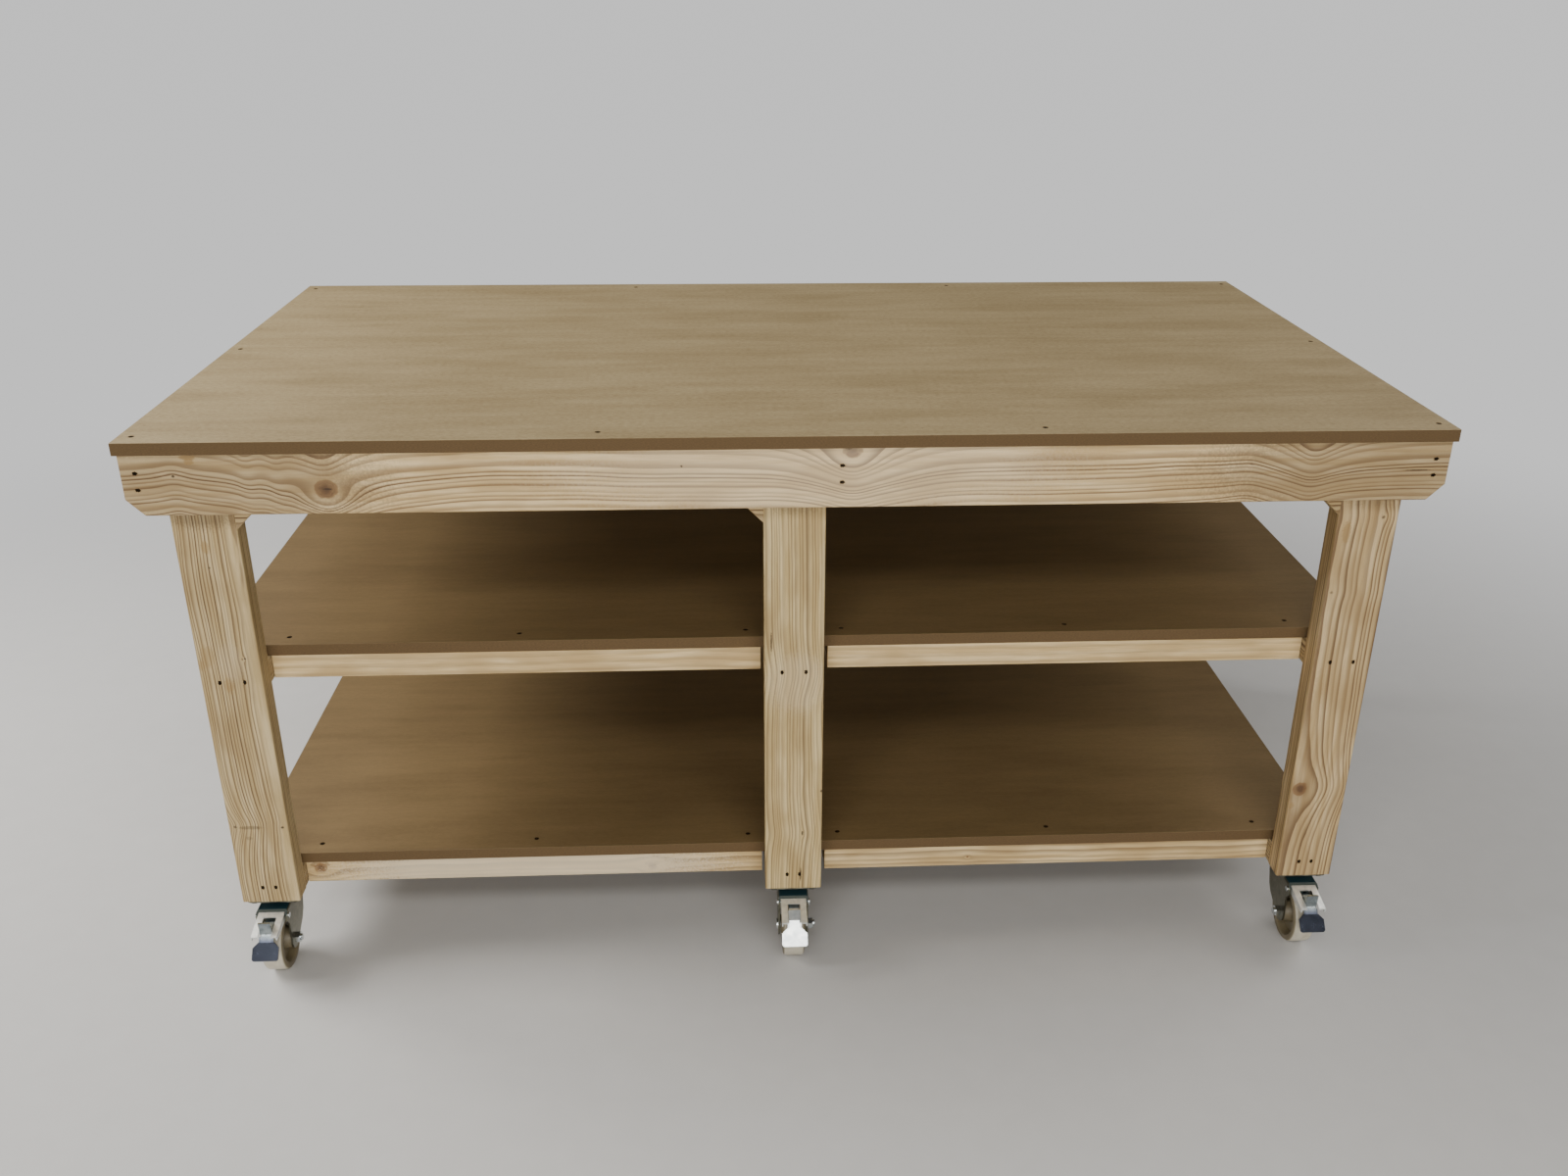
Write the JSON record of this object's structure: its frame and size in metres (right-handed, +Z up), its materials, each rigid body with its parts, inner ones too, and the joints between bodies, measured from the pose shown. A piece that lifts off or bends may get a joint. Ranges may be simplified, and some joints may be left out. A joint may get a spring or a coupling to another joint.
{
  "type": "mobile assembly table",
  "caption": "Timber-framed assembly table with an MDF top, two full-length MDF shelves and braked swivel casters under every leg.",
  "frame": {"origin": "on the floor, below the middle of the worktop", "axes": "+X along the table to the right seen from the front, +Y towards the rear, +Z up"},
  "size_m": [1.83, 1.044, 0.9],
  "materials": {
    "mdf_board": "matt sanded fibreboard",
    "pine": "bare planed softwood",
    "screw_steel": "plated screw",
    "zinc_plated_steel": "bright zinc plate",
    "pedal_steel": "dark blue-grey coat, worn at the edges",
    "nylon": "satin cast nylon"
  },
  "bodies": {
    "table": {"worktop_board": "mdf_board", "middle_shelf_board": "mdf_board", "bottom_shelf_board": "mdf_board", "front_top_rail": "pine", "rear_top_rail": "pine", "left_cross_rail": "pine", "middle_cross_rail": "pine", "right_cross_rail": "pine", "front_left_leg": "pine", "front_middle_leg": "pine", "front_right_leg": "pine", "rear_left_leg": "pine", "rear_middle_leg": "pine", "rear_right_leg": "pine", "middle_left_bearer": "pine", "middle_middle_bearer": "pine", "middle_right_bearer": "pine", "bottom_left_bearer": "pine", "bottom_middle_bearer": "pine", "bottom_right_bearer": "pine", "middle_shelf_battens": "pine", "bottom_shelf_battens": "pine", "corner_gussets": "pine", "worktop_screws": "screw_steel", "frame_screws": "screw_steel", "shelf_screws": "screw_steel", "caster_top_plates": "zinc_plated_steel", "caster_kingpins": "zinc_plated_steel", "caster_race_balls": "zinc_plated_steel", "caster_plate_screws": "zinc_plated_steel"},
    "front_left_fork": {"front_left_caster_fork": "zinc_plated_steel", "front_left_caster_hood": "zinc_plated_steel", "front_left_caster_pins": "zinc_plated_steel"},
    "front_left_wheel": {"front_left_caster_wheel": "nylon"},
    "front_left_pedal": {"front_left_caster_pedal": "pedal_steel"},
    "front_middle_fork": {"front_middle_caster_fork": "zinc_plated_steel", "front_middle_caster_hood": "zinc_plated_steel", "front_middle_caster_pins": "zinc_plated_steel"},
    "front_middle_wheel": {"front_middle_caster_wheel": "nylon"},
    "front_middle_pedal": {"front_middle_caster_pedal": "pedal_steel"},
    "front_right_fork": {"front_right_caster_fork": "zinc_plated_steel", "front_right_caster_hood": "zinc_plated_steel", "front_right_caster_pins": "zinc_plated_steel"},
    "front_right_wheel": {"front_right_caster_wheel": "nylon"},
    "front_right_pedal": {"front_right_caster_pedal": "pedal_steel"},
    "rear_left_fork": {"rear_left_caster_fork": "zinc_plated_steel", "rear_left_caster_hood": "zinc_plated_steel", "rear_left_caster_pins": "zinc_plated_steel"},
    "rear_left_wheel": {"rear_left_caster_wheel": "nylon"},
    "rear_left_pedal": {"rear_left_caster_pedal": "pedal_steel"},
    "rear_middle_fork": {"rear_middle_caster_fork": "zinc_plated_steel", "rear_middle_caster_hood": "zinc_plated_steel", "rear_middle_caster_pins": "zinc_plated_steel"},
    "rear_middle_wheel": {"rear_middle_caster_wheel": "nylon"},
    "rear_middle_pedal": {"rear_middle_caster_pedal": "pedal_steel"},
    "rear_right_fork": {"rear_right_caster_fork": "zinc_plated_steel", "rear_right_caster_hood": "zinc_plated_steel", "rear_right_caster_pins": "zinc_plated_steel"},
    "rear_right_wheel": {"rear_right_caster_wheel": "nylon"},
    "rear_right_pedal": {"rear_right_caster_pedal": "pedal_steel"}
  },
  "joints": [
    {"name": "front_left_swivel", "type": "hinge", "parent": "table", "child": "front_left_fork", "pos_m": [-0.8295, -0.3985, 0.12], "axis": [0, 0, 1], "continuous": true},
    {"name": "front_left_roll", "type": "hinge", "parent": "front_left_fork", "child": "front_left_wheel", "pos_m": [-0.8295, -0.4405, 0.05], "axis": [1, 0, 0], "continuous": true},
    {"name": "front_left_brake", "type": "hinge", "parent": "front_left_fork", "child": "front_left_pedal", "pos_m": [-0.8295, -0.4565, 0.105], "axis": [1, 0, 0], "range_deg": [0, 12]},
    {"name": "front_middle_swivel", "type": "hinge", "parent": "table", "child": "front_middle_fork", "pos_m": [-0.005, -0.3985, 0.12], "axis": [0, 0, 1], "continuous": true},
    {"name": "front_middle_roll", "type": "hinge", "parent": "front_middle_fork", "child": "front_middle_wheel", "pos_m": [-0.005, -0.4405, 0.05], "axis": [1, 0, 0], "continuous": true},
    {"name": "front_middle_brake", "type": "hinge", "parent": "front_middle_fork", "child": "front_middle_pedal", "pos_m": [-0.005, -0.4565, 0.105], "axis": [1, 0, 0], "range_deg": [0, 12]},
    {"name": "front_right_swivel", "type": "hinge", "parent": "table", "child": "front_right_fork", "pos_m": [0.8295, -0.3985, 0.12], "axis": [0, 0, 1], "continuous": true},
    {"name": "front_right_roll", "type": "hinge", "parent": "front_right_fork", "child": "front_right_wheel", "pos_m": [0.8295, -0.4405, 0.05], "axis": [1, 0, 0], "continuous": true},
    {"name": "front_right_brake", "type": "hinge", "parent": "front_right_fork", "child": "front_right_pedal", "pos_m": [0.8295, -0.4565, 0.105], "axis": [1, 0, 0], "range_deg": [0, 12]},
    {"name": "rear_left_swivel", "type": "hinge", "parent": "table", "child": "rear_left_fork", "pos_m": [-0.8295, 0.3985, 0.12], "axis": [0, 0, 1], "continuous": true},
    {"name": "rear_left_roll", "type": "hinge", "parent": "rear_left_fork", "child": "rear_left_wheel", "pos_m": [-0.8295, 0.4405, 0.05], "axis": [1, 0, 0], "continuous": true},
    {"name": "rear_left_brake", "type": "hinge", "parent": "rear_left_fork", "child": "rear_left_pedal", "pos_m": [-0.8295, 0.4565, 0.105], "axis": [-1, 0, 0], "range_deg": [0, 12]},
    {"name": "rear_middle_swivel", "type": "hinge", "parent": "table", "child": "rear_middle_fork", "pos_m": [-0.005, 0.3985, 0.12], "axis": [0, 0, 1], "continuous": true},
    {"name": "rear_middle_roll", "type": "hinge", "parent": "rear_middle_fork", "child": "rear_middle_wheel", "pos_m": [-0.005, 0.4405, 0.05], "axis": [1, 0, 0], "continuous": true},
    {"name": "rear_middle_brake", "type": "hinge", "parent": "rear_middle_fork", "child": "rear_middle_pedal", "pos_m": [-0.005, 0.4565, 0.105], "axis": [-1, 0, 0], "range_deg": [0, 12]},
    {"name": "rear_right_swivel", "type": "hinge", "parent": "table", "child": "rear_right_fork", "pos_m": [0.8295, 0.3985, 0.12], "axis": [0, 0, 1], "continuous": true},
    {"name": "rear_right_roll", "type": "hinge", "parent": "rear_right_fork", "child": "rear_right_wheel", "pos_m": [0.8295, 0.4405, 0.05], "axis": [1, 0, 0], "continuous": true},
    {"name": "rear_right_brake", "type": "hinge", "parent": "rear_right_fork", "child": "rear_right_pedal", "pos_m": [0.8295, 0.4565, 0.105], "axis": [-1, 0, 0], "range_deg": [0, 12]}
  ]
}
